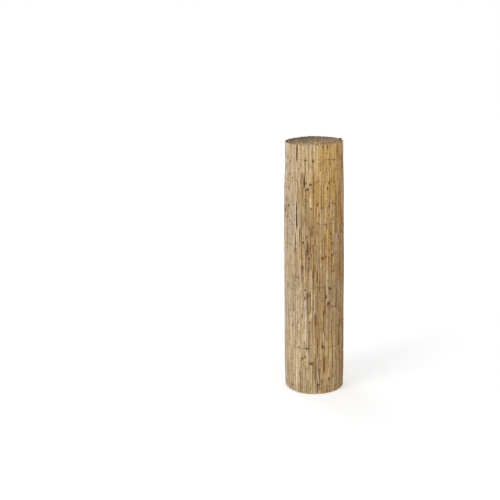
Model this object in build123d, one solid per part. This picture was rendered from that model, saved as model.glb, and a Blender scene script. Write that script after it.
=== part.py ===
from build123d import *

import os
from math import ceil, cos, pi, radians, sin, sqrt

# A reed screening mat, rolled up and standing on its cut reed ends. Reeds lie side by side and are
# laced together by level rows of wire. The origin is the middle of the foot, the roll's axis is +Z and
# its front faces -Y. Sizes are in millimetres and angles in degrees, counted from +X towards +Y.

# The roll: a wall of reeds wound in half-circles about two centres, so that each turn keeps its distance
reed_length = 1200.0
turns = 11
eye_radius = 8.5
mat_thickness = 10.0
turn_gap = 2.0
free_edge_angle = 120.0

# The reeds that show: ridges along the outer turn, with their shoulders this far round from the crown
reed_spacing = 7.4
ridge_height = 3.2
shoulder_angle = 45.0

# The lacing wires: one row above another, each bent at every few reeds
wire_thickness = 1.2
wire_spacing = 100.0
lowest_wire_height = 32.0
wire_bend_reeds = 4
wire_clearance = 0.1
wire_tail_reeds = 9

# Gaps where neighbouring reeds part between two wires. The bays between wires are counted from the
# lowest one, and each gap's bearing is taken from the front, positive to the right as seen from there
gap_width = 2.4
gap_end_margin = 12.0
gap_bearings_by_bay = {
    1: (-112, 9, 36, 112),
    2: (-118, -84, -9, 19, 95, 165),
    3: (-100, -66, 8, 35, 118),
    4: (-97, -10, 19, 58, 150),
    5: (-170, -75, -15, -5, 21, 84, 128),
    6: (-172, -115, 2, 78, 98, 133),
    7: (-104, -40, 86, 120, 160),
    8: (-118, -60, -28, -16, -7, 110, 146),
    9: (-95, -36, 62, 121, 172),
    10: (-110, -90, -23, 14, 100, 140),
    11: (-120, -39, -11, 88, 155),
}

pitch = mat_thickness + turn_gap
half_turns = round(2 * turns)
outer_half_turns = (half_turns - 2, half_turns - 1)

# Stiff reeds let a mat bend only between them, so its faces run in flats. A flat falls inside its circle
# by a part of the slack between turns, so that no turn touches the next
flat_sag = turn_gap / 3


def start_angle(half_turn):
    """The angle at which a half-turn begins: even ones go over the top of the section, odd ones under."""
    return 180.0 * (half_turn % 2)


def centre(half_turn):
    """The two centres lie half a pitch apart, so each half-circle runs on smoothly from the last."""
    return Vector(-pitch / 4 if half_turn % 2 == 0 else pitch / 4, 0)


def inner_radius(half_turn):
    return eye_radius + half_turn * pitch / 2


def crown_radius(half_turn):
    return inner_radius(half_turn) + mat_thickness


def reed_count(half_turn):
    return round(pi * crown_radius(half_turn) / reed_spacing)


def reed_step(half_turn):
    """The angle from one reed to the next on a half-turn."""
    return 180.0 / reed_count(half_turn)


def at(half_turn, radius, sweep):
    """The point of a half-turn at a radius, sweep degrees on from where the half-turn begins."""
    angle = radians(start_angle(half_turn) + sweep)
    return centre(half_turn) + Vector(radius * cos(angle), radius * sin(angle))


def reed_ridges(half_turn):
    """The crowns of the reeds of one half-turn, each in four flats: valley, shoulder, crown and back."""
    crown = crown_radius(half_turn)
    step = reed_step(half_turn)
    reed_radius = reed_spacing / 2
    shoulder = crown - reed_radius * (1 - cos(radians(shoulder_angle)))
    aside = step / 2 * sin(radians(shoulder_angle))
    corners = []
    for reed in range(reed_count(half_turn)):
        middle = (reed + 0.5) * step
        corners.append(at(half_turn, crown - ridge_height, reed * step))
        corners.append(at(half_turn, shoulder, middle - aside))
        corners.append(at(half_turn, crown, middle))
        corners.append(at(half_turn, shoulder, middle + aside))
    return corners


def face_corners(half_turns_of_face, radius_of):
    """The corners between the flats along one face of the wall, from the eye outwards."""
    corners = []
    for turn in half_turns_of_face:
        flats = ceil(pi * sqrt(crown_radius(turn) / (8 * flat_sag)))
        corners += [at(turn, radius_of(turn), 180.0 * flat / flats) for flat in range(flats)]
    return corners + [at(turn, radius_of(turn), 180.0)]


def mat_section():
    """The spiral that the roll shows from above: out along its outer face and back along its inner one."""
    hidden_turns = face_corners(range(outer_half_turns[0]), crown_radius)
    ridges = [corner for turn in outer_half_turns for corner in reed_ridges(turn)]
    last = outer_half_turns[-1]
    last_valley = at(last, crown_radius(last) - ridge_height, 180.0)
    inner_face = face_corners(range(half_turns), inner_radius)[::-1]
    outline = Polyline([*hidden_turns, *ridges, last_valley, *inner_face], close=True)
    return Face(Wire(outline.edges()))


def wire_heights():
    rows = int((reed_length - 2 * lowest_wire_height) // wire_spacing) + 1
    return [lowest_wire_height + row * wire_spacing for row in range(rows)]


def parted_gap(bearing, lower, upper):
    """A slot through the outer turn, in the valley nearest to a bearing, between two rows of wire."""
    along = (bearing - 90.0 - free_edge_angle) % 360.0
    turn = outer_half_turns[int(along // 180)]
    step = reed_step(turn)
    sweep = round((along % 180) / step) * step
    middle_radius = inner_radius(turn) + mat_thickness / 2
    slot = Box(mat_thickness + turn_gap, gap_width, upper - lower - 2 * gap_end_margin)
    middle = at(turn, middle_radius, sweep) + Vector(0, 0, (lower + upper) / 2)
    return Pos(*middle) * Rot(0, 0, start_angle(turn) + sweep) * slot


def reed_mat():
    mat = extrude(mat_section(), reed_length)
    heights = wire_heights()
    for bay, (lower, upper) in enumerate(zip(heights, heights[1:]), start=1):
        mat -= [parted_gap(bearing, lower, upper) for bearing in gap_bearings_by_bay.get(bay, ())]
    return mat


def wire_line(half_turn, reeds):
    """Where a wire bends on its way over some reeds of a half-turn, with each bend's way outwards."""
    step = reed_step(half_turn)
    bend = radians(step * wire_bend_reeds / 2)
    radius = (crown_radius(half_turn) + wire_clearance) / cos(bend) + wire_thickness / 2
    sweeps = [(reed + 0.5) * step for reed in reeds]
    return [(at(half_turn, radius, sweep), at(half_turn, 1, sweep) - centre(half_turn)) for sweep in sweeps]


def binding_wire(height):
    """One wire: once round the outer turn, over the free edge and down onto the turn below."""
    first, last = outer_half_turns
    body = wire_line(first, range(wire_tail_reeds + wire_bend_reeds, reed_count(first), wire_bend_reeds))
    body += wire_line(last, range(0, reed_count(last), wire_bend_reeds))
    over_edge = wire_line(last, [reed_count(last) - 0.5])
    tail = wire_line(first, range(wire_bend_reeds, wire_tail_reeds + 1, wire_bend_reeds))
    bends = body + over_edge + tail
    outside = [point + outwards * (wire_thickness / 2) for point, outwards in bends]
    inside = [point - outwards * (wire_thickness / 2) for point, outwards in bends]
    band = Face(Wire(Polyline(outside + inside[::-1], close=True).edges()))
    return Pos(0, 0, height - wire_thickness / 2) * extrude(band, wire_thickness)


pieces = {"reed_mat": reed_mat()}
for number, height in enumerate(wire_heights(), start=1):
    pieces[f"binding_wire_{number:02d}"] = binding_wire(height)

# The free edge is turned to its place, and the middle of the roll's outline goes to the axis
turn_to_place = Rot(0, 0, free_edge_angle - start_angle(outer_half_turns[0]))
turned = {name: turn_to_place * piece for name, piece in pieces.items()}
outline = Compound(list(turned.values())).bounding_box().center()
to_axis = Pos(-outline.X, -outline.Y, 0)

os.makedirs("parts", exist_ok=True)
for name, piece in turned.items():
    export_step(to_axis * piece, f"parts/{name}.step")

mat_length = sum(pi * (inner_radius(turn) + mat_thickness / 2) for turn in range(half_turns))
reeds_that_show = sum(reed_count(turn) for turn in outer_half_turns)
print(f"mat {mat_length / 1000:.2f} m long, {reeds_that_show} reeds show")
print(f"roll moved by {-outline.X:.2f}, {-outline.Y:.2f} mm to stand on its axis")
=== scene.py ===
# %% [markdown]
# # A reed screen, rolled up and standing on end
# A garden screen of dry reeds is a long mat. The reeds lie side by side, rows of thin wire lace them
# together, and the mat is sold as a roll that stands on its cut ends. From afar it is all fine vertical
# streaks, so the look comes from many slightly different reeds and not from one patterned cylinder.
# This lesson lays every reed of the roll, laces the outer ones with wire and paints them.

# %% Load the measured model
from dataclasses import dataclass, field
from math import atan2, cos, degrees, pi, radians, sin

import bpy
import numpy as np
from mathutils import Matrix, Vector


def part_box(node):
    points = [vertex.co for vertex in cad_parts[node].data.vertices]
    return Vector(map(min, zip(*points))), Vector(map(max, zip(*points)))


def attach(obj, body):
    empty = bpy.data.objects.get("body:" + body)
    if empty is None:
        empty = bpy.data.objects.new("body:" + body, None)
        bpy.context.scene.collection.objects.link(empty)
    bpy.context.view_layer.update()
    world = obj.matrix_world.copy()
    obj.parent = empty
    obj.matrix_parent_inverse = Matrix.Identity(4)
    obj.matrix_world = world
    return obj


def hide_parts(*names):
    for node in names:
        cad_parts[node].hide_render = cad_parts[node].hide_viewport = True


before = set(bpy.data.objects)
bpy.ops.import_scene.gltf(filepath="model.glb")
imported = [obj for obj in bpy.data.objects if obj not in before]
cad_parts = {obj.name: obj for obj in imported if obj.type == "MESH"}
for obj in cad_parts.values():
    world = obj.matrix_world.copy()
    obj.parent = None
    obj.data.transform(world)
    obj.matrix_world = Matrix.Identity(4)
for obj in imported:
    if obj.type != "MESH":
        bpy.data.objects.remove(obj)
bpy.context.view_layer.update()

mat_low, mat_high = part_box("reed_mat")
wire_nodes = sorted(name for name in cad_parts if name.startswith("binding_wire_"))
wire_levels = [float(sum(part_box(name), Vector()).z) / 2 for name in wire_nodes]
print(len(wire_nodes), "rows of wire, from", wire_levels[0], "to", wire_levels[-1], "m up")

# %% [markdown]
# ## The spiral that the mat follows
# The measured roll is wound in half-circles about two centres, so its turns keep one distance. An array of
# copies along a spiral curve would be quick, but all its reeds would be alike. Here a function gives the
# place for any length along the mat, counted from the eye of the roll, which makes it easy to lay one reed
# after another. The same few sizes as in the measured model give the spiral, and that model's box gives
# its place.

# %% Sizes of the roll
MM = 0.001
EYE_RADIUS = 8.5 * MM
MAT_THICKNESS = 10 * MM
TURN_GAP = 2 * MM
HALF_TURNS = 22
FREE_EDGE_ANGLE = radians(120)

pitch = MAT_THICKNESS + TURN_GAP
middle_radii = EYE_RADIUS + np.arange(HALF_TURNS) * pitch / 2 + MAT_THICKNESS / 2
turn_starts = np.concatenate([[0.0], np.cumsum(pi * middle_radii)])
mat_length = turn_starts[-1]
outer_start = turn_starts[HALF_TURNS - 2]
print(f"mat {mat_length:.2f} m long, of which the outer turn takes {mat_length - outer_start:.2f} m")


# %% Points of the wall
def spiral(along):
    """The middle of the wall and the way outwards, at lengths of mat counted from the eye."""
    along = np.asarray(along, float)
    half_turn = np.clip(np.searchsorted(turn_starts, along, side="right") - 1, 0, HALF_TURNS - 1)
    radius = middle_radii[half_turn]
    angle = FREE_EDGE_ANGLE + pi * (half_turn % 2) + (along - turn_starts[half_turn]) / radius
    out = np.stack([np.cos(angle), np.sin(angle)], -1)
    aside = np.where(half_turn % 2 == 0, -pitch / 4, pitch / 4)
    centre = aside[..., None] * np.array([cos(FREE_EDGE_ANGLE), sin(FREE_EDGE_ANGLE)])
    return centre + out * radius[..., None], out


OUTLINE_POINTS = 720
outer_middle, outer_out = spiral(np.linspace(outer_start, mat_length, OUTLINE_POINTS))
outline = outer_middle + outer_out * MAT_THICKNESS / 2
box_middle = np.array([mat_low.x + mat_high.x, mat_low.y + mat_high.y]) / 2
to_axis = box_middle - (outline.min(0) + outline.max(0)) / 2


def wall(along):
    """The same as spiral, moved to where the measured roll stands."""
    point, out = spiral(along)
    return point + to_axis, out


print("the spiral is moved by", to_axis / MM, "mm to stand where the measured roll stands")

# %% [markdown]
# ## Laying the reeds
# No two reeds are alike: they are thick and thin, taper towards one end, sway a little between the wires
# and stand a little in or out. Chance could come from a particle system, but then single reeds could not
# be bent or painted by hand. So each reed is a small record in a list, and all chance is drawn from one
# seeded generator, which gives the same roll on each run.

# %% One reed
SEED = 20
SWAY_SIZES = (0.2 * MM, 0.8 * MM)
SHORTEST_WAVES, LONGEST_WAVES = (0.35, 0.7, 0.5), (0.6, 1.6, 1.1)

draw = np.random.default_rng(SEED)


@dataclass
class Reed:
    """Where a reed stands in the mat, its shape, and the marks that are on it."""
    number: int
    along: float
    width: float
    outwards: float
    taper: float
    foot: float
    tip: float
    sway: np.ndarray
    nodes: list = field(default_factory=list)
    dark_nodes: dict = field(default_factory=dict)
    pushes: list = field(default_factory=list)
    joint_tones: dict = field(default_factory=dict)


def sway_waves():
    """Two slow waves aside and one in and out: size, wavelength and phase of each."""
    sizes = draw.uniform(*SWAY_SIZES, 3)
    lengths = draw.uniform(SHORTEST_WAVES, LONGEST_WAVES)
    return np.stack([sizes, lengths, draw.uniform(0, 2 * pi, 3)], -1)


print("all chance is drawn from one generator, which starts from seed", SEED)

# %% Side by side along the mat
REED_LENGTH = mat_high.z
REED_WIDTH, REED_WIDTH_SPREAD = 7.5 * MM, 1.2 * MM
THINNEST_REED, THICKEST_REED = 4.8 * MM, 10 * MM
TAPERS = (-0.16, 0.22)
DEEPEST_SEAT = 1.5 * MM
LAYER_SHARES = (0.3, 1.0)
OUTER_PACKING, INNER_PACKING = (0.92, 1.04), (0.84, 0.94)
UNEVEN_FEET, LEFT_FOOT_RISE, RIGHT_FOOT_RISE = 2.2 * MM, 8 * MM, 2 * MM
TIP_MEAN, TIP_SPREAD, LOWEST_TIP, HIGHEST_TIP = -0.6 * MM, 0.9 * MM, -3 * MM, 2 * MM


def seat(number, along, width):
    """How far out of the wall's middle a reed stands, and how much of its width it takes up."""
    if along > outer_start:
        outwards = (MAT_THICKNESS - width) / 2 - draw.uniform(0, DEEPEST_SEAT)
        return outwards, draw.uniform(*OUTER_PACKING)
    side = 1 if number % 2 and along < turn_starts[HALF_TURNS - 4] else -1
    outwards = side * (pitch - width) / 2 * draw.uniform(*LAYER_SHARES)
    return outwards, draw.uniform(*INNER_PACKING)


def foot_rise(along):
    """How much higher the feet of the outer reeds stand towards the two sides of the roll."""
    if along <= outer_start:
        return 0.0
    place, _ = wall(along)
    aside = place[0] / np.linalg.norm(place)
    return (LEFT_FOOT_RISE if aside < 0 else RIGHT_FOOT_RISE) * aside**2


def lay_reeds():
    """All reeds of the mat, from the eye of the roll to the free edge."""
    laid, edge = [], 0.0
    while True:
        width = float(np.clip(draw.normal(REED_WIDTH, REED_WIDTH_SPREAD), THINNEST_REED, THICKEST_REED))
        if edge + width > mat_length:
            return laid
        along = edge + width / 2
        outwards, packing = seat(len(laid), along, width)
        taper = draw.uniform(*TAPERS)
        foot = draw.uniform(0, UNEVEN_FEET) + foot_rise(along)
        tip = REED_LENGTH + float(np.clip(draw.normal(TIP_MEAN, TIP_SPREAD), LOWEST_TIP, HIGHEST_TIP))
        laid.append(Reed(len(laid), along, width, outwards, taper, foot, tip, sway_waves()))
        edge += width * packing


reeds = lay_reeds()
outer_reeds = [reed for reed in reeds if reed.along > outer_start]
print(len(reeds), "reeds of", REED_LENGTH, "m, of which", len(outer_reeds), "show round the outside")

# %% [markdown]
# ## How a reed stands
# A roll that has stood about is not a true cylinder: it is pinched at the top and slack below. A lattice
# could squeeze the finished meshes, but the wires have to follow the reeds, so the squeeze belongs into the
# line of each reed. One function gives that line at any height, with the girth of the roll, the reed's own
# sway and the places where it is pushed aside.

# %% Line and radius of a reed
GIRTH_HEIGHTS = np.array([0.0, 0.1, 0.45, 0.8, 0.98, 1.1, 1.2])
GIRTH_SHARES = np.array([1.000, 1.022, 1.020, 1.009, 1.002, 0.970, 0.963])
BEND_RAMP = 38 * MM
FULL_WIDTH_AT = 0.3


def girth(height):
    return np.interp(height, GIRTH_HEIGHTS, GIRTH_SHARES)


def window(value, low, high, ramp=BEND_RAMP):
    """1 between two limits and 0 outside, with soft ends."""
    rise = np.clip((value - low) / ramp + 0.5, 0, 1)
    fall = np.clip((high - value) / ramp + 0.5, 0, 1)
    return rise * rise * (3 - 2 * rise) * fall * fall * (3 - 2 * fall)


def reed_line(reed, height):
    """The reed's middle at some heights, with the ways outwards and aside."""
    height = np.asarray(height, float)
    point, out = wall(np.full(height.shape, reed.along))
    aside = np.stack([-out[..., 1], out[..., 0]], -1)
    waves = reed.sway[:, 0] * np.sin(2 * pi * height[..., None] / reed.sway[:, 1] + reed.sway[:, 2])
    sideways = waves[..., 0] + waves[..., 1]
    for low, high, distance in reed.pushes:
        sideways = sideways + distance * window(height, low, high)
    middle = point * girth(height)[..., None] + out * (reed.outwards + waves[..., 2])[..., None]
    return middle + aside * sideways[..., None], out, aside


def reed_radius(reed, height):
    return reed.width / 2 * (1 - reed.taper * (np.asarray(height) / REED_LENGTH - FULL_WIDTH_AT))


print("the girth goes from", GIRTH_SHARES.min(), "to", GIRTH_SHARES.max(), "of the measured one")

# %% Reeds by their bearing
TALL_REEDS = {104: 2 * MM, 108: 5 * MM, 112: 3 * MM, -46: 3 * MM}
PRESSED_AT_EDGE = np.array([2.6, 2.2, 1.6, 1.0, 0.5]) * MM


def bearing(point):
    """Degrees round the roll from the front, positive to the right as seen from there."""
    return degrees(atan2(point[0], -point[1]))


outer_bearings = np.array([bearing(wall(reed.along)[0]) for reed in outer_reeds])


def outer_reed_at(place):
    """The outer reed nearest to a bearing."""
    return outer_reeds[int(np.argmin(np.abs(outer_bearings - place)))]


for place, rise in TALL_REEDS.items():
    outer_reed_at(place).tip = REED_LENGTH + rise
for reed, press in zip(outer_reeds[::-1], PRESSED_AT_EDGE):
    reed.outwards -= press
print(len(TALL_REEDS), "reeds stand proud, and", len(PRESSED_AT_EDGE), "are pressed down at the free edge")

# %% [markdown]
# ## Where reeds part
# Between two wires neighbouring reeds can bend apart, and the slit between them goes dark. Painted stripes
# would stay flat from the side, so the reeds are really bent. The slits that show in front are listed by
# their bearing, lowest and highest point. Those at the sides and back are listed by the bay between two
# wires, counted from the lowest wire. Two reeds are pushed apart at each slit, and those beyond give way
# by less.

# %% Slits
THIN_SLIT, SLIT, WIDE_SLIT, GAPING_SLIT = 2.8 * MM, 4.0 * MM, 5.8 * MM, 8.0 * MM
SLIT_SPREAD = (0.85, 1.15)
BAY_MARGINS = (8 * MM, 26 * MM)
PUSH_SHARES = (0.5, 0.32, 0.16)
FRONT_SLITS = [
    # bearing, lowest and highest point in millimetres, width
    (-33, 1122, 1235, GAPING_SLIT), (-17, 1005, 1062, WIDE_SLIT), (-33, 815, 935, WIDE_SLIT),
    (-26, 732, 818, SLIT), (-38, 694, 787, SLIT), (-6, 700, 798, THIN_SLIT), (-14, 694, 760, SLIT),
    (5, 555, 612, SLIT), (-6, 407, 508, THIN_SLIT), (-13, 415, 505, THIN_SLIT), (19, 315, 420, SLIT),
    (-10, 197, 337, THIN_SLIT), (7, 190, 266, SLIT), (19, 108, 187, SLIT), (-9, 107, 177, THIN_SLIT),
    (35, 70, 130, THIN_SLIT), (7, -10, 70, SLIT), (21, 453, 551, THIN_SLIT), (35, 261, 351, THIN_SLIT),
    (-11, 1057, 1113, THIN_SLIT), (14, 921, 1015, THIN_SLIT),
]
SIDE_SLITS_BY_BAY = {
    1: (-112, 112), 2: (-118, -84, 95, 165), 3: (-100, -66, 118), 4: (-97, 58, 150),
    5: (-170, -75, 84, 128), 6: (-172, -115, 78, 98, 133), 7: (-104, 86, 120, 160),
    8: (-118, -60, 110, 146), 9: (-95, 62, 121, 172), 10: (-110, -90, 100, 140), 11: (-120, 88, 155),
}


def part_reeds(place, low, high, width):
    """Pushes the two reeds at a bearing apart between two heights, and their neighbours by less."""
    between = (outer_bearings[:-1] + outer_bearings[1:]) / 2
    left = int(np.argmin(np.abs(between - place)))
    pair = outer_reeds[left:left + 2]
    level = np.array([(low + high) / 2])
    lines = [reed_line(reed, level)[0][0] for reed in pair]
    gap = np.linalg.norm(lines[1] - lines[0]) - sum(float(reed_radius(reed, level)[0]) for reed in pair)
    push = width * draw.uniform(*SLIT_SPREAD) - gap
    for step, share in enumerate(PUSH_SHARES):
        if left - step >= 0:
            outer_reeds[left - step].pushes.append((low, high, -share * push))
        if left + 1 + step < len(outer_reeds):
            outer_reeds[left + 1 + step].pushes.append((low, high, share * push))


for place, low, high, width in FRONT_SLITS:
    part_reeds(place, low * MM, high * MM, width)
for bay, places in SIDE_SLITS_BY_BAY.items():
    for place in places:
        low = wire_levels[bay - 1] + draw.uniform(*BAY_MARGINS)
        high = wire_levels[bay] - draw.uniform(*BAY_MARGINS)
        part_reeds(place, low, high, SLIT)
side_slits = sum(map(len, SIDE_SLITS_BY_BAY.values()))
print(len(FRONT_SLITS), "slits in front and", side_slits, "at the sides and back")

# %% [markdown]
# ## Nodes
# A reed has a knotty node every hand's breadth or two, closer together towards its tip. Many nodes have
# gone dark, and from afar they are the short dashes that tell reeds from plain sticks. A noise texture
# would scatter such dashes anywhere, so the nodes are kept as heights in each reed's record, where the
# shape, the paint and the husks all find them. Chance darkens some, and the darkest have set places.

# %% Heights of nodes
SHORTEST_JOINT, LONGEST_JOINT = 0.075, 0.20
LOWEST_NODE, SHORTEST_TIP, CROWDING = 0.01, 12 * MM, 0.25


def grow_nodes(reed):
    """Nodes from the foot of a reed upwards."""
    height = draw.uniform(LOWEST_NODE, LONGEST_JOINT)
    while height < reed.tip - SHORTEST_TIP:
        reed.nodes.append(height)
        height += draw.uniform(SHORTEST_JOINT, LONGEST_JOINT) * (1 - CROWDING * height / REED_LENGTH)


for reed in outer_reeds:
    grow_nodes(reed)
print(sum(len(reed.nodes) for reed in outer_reeds), "nodes on the outer reeds")

# %% Dark nodes
DARK_CHANCE, SLIGHT_DARK = 0.2, (0.6 * MM, 6.0 * MM)
DEEP_DARK = (4.2 * MM, 9.5 * MM)
NEIGHBOUR_CHANCE, NEIGHBOUR_OFFSET = 0.4, 4 * MM
DARK_NODES = [
    # bearing and height in millimetres
    (18, 1188), (26, 1187), (-3, 1127), (31, 1024), (-8, 1020), (-22, 1055), (-14, 996), (-65, 937),
    (6, 926), (15, 911), (30, 914), (-57, 912), (-70, 887), (1, 865), (22, 830), (-22, 747), (-9, 673),
    (15, 673), (37, 682), (-24, 631), (-31, 576), (-58, 521), (30, 524), (-16, 477), (22, 482), (26, 447),
    (-23, 390), (-8, 361), (60, 348), (27, 348), (15, 242), (-13, 231), (-22, 179), (-7, 155), (-29, 101),
    (30, 73),
]


def darken_node(reed, height):
    """Gives a reed a dark node at a height, in place of the nearest one if that is close."""
    nearest = min(reed.nodes, key=lambda node: abs(node - height), default=0.0)
    if abs(nearest - height) < SHORTEST_JOINT:
        reed.nodes.remove(nearest)
        reed.dark_nodes.pop(nearest, None)
    reed.nodes = sorted(reed.nodes + [height])
    reed.dark_nodes[height] = draw.uniform(*DEEP_DARK)


for reed in outer_reeds:
    for node in reed.nodes:
        if draw.random() < DARK_CHANCE:
            reed.dark_nodes[node] = draw.uniform(*SLIGHT_DARK)
for place, height in DARK_NODES:
    reed = outer_reed_at(place)
    darken_node(reed, height * MM)
    if draw.random() < NEIGHBOUR_CHANCE:
        neighbour = outer_reeds[outer_reeds.index(reed) + 1]
        darken_node(neighbour, height * MM + draw.uniform(-NEIGHBOUR_OFFSET, NEIGHBOUR_OFFSET))
print(sum(len(reed.dark_nodes) for reed in outer_reeds), "of the nodes are dark")

# %% [markdown]
# ## The colours of dry reed
# Dry reed is straw-coloured, but each reed has bleached in its own way, and each joint of it too: some are
# pale, some ashen or blushed, some still honey-yellow. A colour ramp over noise gives tones without edges,
# while real tones change at the nodes. So a few tones are named here, and each joint picks from them. When
# reed darkens it turns brown and not grey, so blue falls faster than red in the shading.


# %% Tones
def tone(red, green, blue):
    """A colour as a picture editor shows it, from 0 to 255, turned into the light that it sends back."""
    share = np.array([red, green, blue]) / 255
    return np.where(share <= 0.04045, share / 12.92, ((share + 0.055) / 1.055) ** 2.4)


STRAW, PALE, ASH = tone(200, 168, 114), tone(226, 203, 161), tone(210, 193, 169)
BLUSH, HONEY = tone(199, 164, 132), tone(215, 176, 106)
RUST, AMBER = tone(195, 125, 60), tone(208, 150, 80)
OLIVE, TAN, UMBER = tone(160, 133, 78), tone(160, 122, 74), tone(106, 72, 34)
REED_TONES = np.array([STRAW, PALE, ASH, BLUSH, HONEY, OLIVE, TAN])
TONE_CHANCES = (0.28, 0.23, 0.12, 0.17, 0.06, 0.05, 0.09)
SHADE_POWERS = np.array([1.0, 1.15, 1.55])


def shade(colour, light):
    """Lights or darkens a colour as dry reed does: the dark parts are browner and the light ones greyer."""
    return colour * np.asarray(light)[..., None] ** SHADE_POWERS


def towards(colour, other, share):
    """Draws colours towards another one, by a share for each of them."""
    return colour + (other - colour) * np.asarray(share)[..., None]


print("half the light turns straw into", (shade(STRAW, 0.5) / STRAW).round(2), "of itself")

# %% [markdown]
# ## Patches of sun and damp
# The mat lay rolled in the sun and the rain, so broad patches of it differ: ashen at the left, honey at the
# top, rusty down the right. Two kinds of patch paint light and shade as well: a pale band round the foot is
# partly painted light against the floor's shade, and the dark patches at the right edge are partly painted
# shade. Large soft noise could give patches, but not in these places. Each patch is a soft spot on the
# unrolled mat, with a bearing, a height and a reach each way, and it draws the reeds that stand in it
# towards its tone.

# %% Patches
PATCHES = [
    # bearing, height, how far each way in degrees and metres, tone, strength
    (14, 1.08, 34, 0.20, HONEY, 0.75),
    (44, 1.08, 20, 0.24, HONEY * 1.22, 0.75),
    (-62, 0.65, 28, 0.85, ASH, 0.6),
    (-62, 1.10, 30, 0.12, ASH, 0.6),
    (-9, 1.15, 19, 0.08, PALE, 0.7),
    (38, 1.18, 22, 0.04, HONEY * 1.25, 0.6),
    (-11, 1.20, 19, 0.032, PALE, 0.6),
    (-45, 1.08, 12, 0.10, BLUSH, 0.4),
    (-70, 0.88, 30, 0.10, ASH * 0.7, 0.5),
    (-44, 0.84, 12, 0.07, ASH * 0.72, 0.6),
    (-62, 0.42, 14, 0.06, ASH * 0.75, 0.5),
    (-10, 0.66, 22, 0.16, TAN, 0.5),
    (4, 0.28, 12, 0.22, TAN, 0.2),
    (-22, 0.25, 22, 0.25, PALE, 0.3),
    # a pale band round the foot: partly the paler feet of the reeds, partly painted light against the floor's
    # shade
    (0, 0.0, 400, 0.03, PALE, 0.6),
    (28, 0.71, 6, 0.09, AMBER * 1.12, 0.85),
    (33, 0.66, 13, 0.12, HONEY * 0.8, 0.45),
    (35, 0.18, 14, 0.24, STRAW * 1.34, 0.75),
    (-36, 0.35, 14, 0.50, ASH, 0.4),
    (52, 1.15, 4, 0.05, RUST, 0.7),
    (58, 0.88, 6, 0.08, RUST * 1.1, 0.85),
    (58, 0.59, 6, 0.05, RUST, 0.6),
    (58, 0.37, 6, 0.06, RUST, 0.7),
    (60, 0.19, 6, 0.04, RUST, 0.6),
    (30, 0.40, 14, 0.12, BLUSH, 0.4),
    # at the right edge: darker brown, partly the reeds' own tone, partly painted shade where the roll turns
    # away
    (86, 0.42, 19, 0.46, TAN * 0.68, 0.8),
    (84, 0.98, 12, 0.20, RUST * 0.8, 0.5),
    (66, 1.12, 7, 0.12, RUST, 0.5),
    (66, 0.72, 14, 0.16, RUST * 0.66, 0.5),
    (48, 0.34, 8, 0.30, STRAW * 1.12, 0.5),
    (70, 0.10, 14, 0.14, RUST * 0.66, 0.4),
]


def patch_tones(place, height, colour):
    """Draws a reed's colours towards the patches that it stands in."""
    for middle, level, reach, rise, patch, strength in PATCHES:
        offset = (place - middle + 180) % 360 - 180
        nearness = np.exp(-((offset / reach) ** 2) - ((height - level) / rise) ** 2)
        colour = towards(colour, patch, nearness * strength)
    return colour


print(len(PATCHES), "patches")

# %% [markdown]
# ## Joints of their own tone
# Here and there a single joint is plainly browner or paler than the reeds beside it, from one node to the
# next. A patch would have soft ends, so such a joint gets two nodes of its own and a tone between them.

# %% Brown and pale joints
JOINT_TONES = [
    # bearing, lowest and highest point in millimetres, tone, strength
    (-12, 407, 500, TAN * 0.8, 0.85), (-7, 405, 503, TAN * 0.75, 0.9), (2, 292, 394, TAN, 0.7),
    (19, 312, 416, TAN * 0.7, 0.9), (27, 318, 395, TAN, 0.7), (2, 80, 182, TAN, 0.7),
    (19, 108, 187, TAN * 0.7, 0.9), (26, 112, 187, TAN * 0.9, 0.8), (-5, 700, 811, TAN * 0.75, 0.85),
    (-10, 690, 745, TAN * 0.8, 0.8), (-1, 864, 961, TAN * 0.9, 0.7), (35, 440, 480, PALE, 0.8),
    (-3, 480, 610, TAN * 0.85, 0.8), (-3, 400, 470, TAN * 0.85, 0.8), (-5, 620, 692, TAN * 0.8, 0.8),
    (1, 770, 860, TAN, 0.6), (2, 640, 760, TAN, 0.6),
    (-52, 464, 517, PALE, 0.7), (-36, 486, 534, PALE, 0.7), (-19, 262, 312, PALE, 0.6),
]


def mark_joint(reed, low, high, joint_tone, strength):
    """Gives a reed one joint of its own tone, between two nodes that take the place of those nearby."""
    clear_below, clear_above = low - SHORTEST_JOINT / 2, high + SHORTEST_JOINT / 2
    kept = [node for node in reed.nodes if node < clear_below or node > clear_above]
    reed.dark_nodes = {node: reach for node, reach in reed.dark_nodes.items() if node in kept}
    reed.nodes = sorted(kept + [low, high])
    reed.joint_tones[(low + high) / 2] = (joint_tone, strength)


for place, low, high, joint_tone, strength in JOINT_TONES:
    mark_joint(outer_reed_at(place), low * MM, high * MM, joint_tone, strength)
print(len(JOINT_TONES), "joints of their own tone")

# %% [markdown]
# ## Rust that bleeds from the wires
# Where the zinc of a lacing wire has gone, the wire rusts, and rain washes a faint brown line onto the
# reeds that it crosses. The wires come later in this lesson, but the stretches that rust are named here,
# because both the reeds and the wires are painted by them.

# %% Rusty stretches
RUSTY_STRETCHES = [
    # row, from bearing, to bearing
    (11, -6, 42), (3, -80, -12), (3, 26, 70), (12, -28, -8), (12, 20, 44), (9, 10, 40), (8, -70, -40),
    (6, -10, 20), (5, 24, 50), (1, -80, -35), (1, 30, 60), (10, 100, 150), (7, -140, -95), (4, 150, 176),
]
RUST_SOFTNESS = 6


def rusty_rows_at(place):
    """Rows of wire that are rusty where they pass a bearing."""
    ends = [(row, start - RUST_SOFTNESS, stop + RUST_SOFTNESS) for row, start, stop in RUSTY_STRETCHES]
    return [row for row, start, stop in ends if start < place < stop]


print(len(RUSTY_STRETCHES), "rusty stretches, and in front the rows", sorted(rusty_rows_at(0)), "are rusty")

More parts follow.
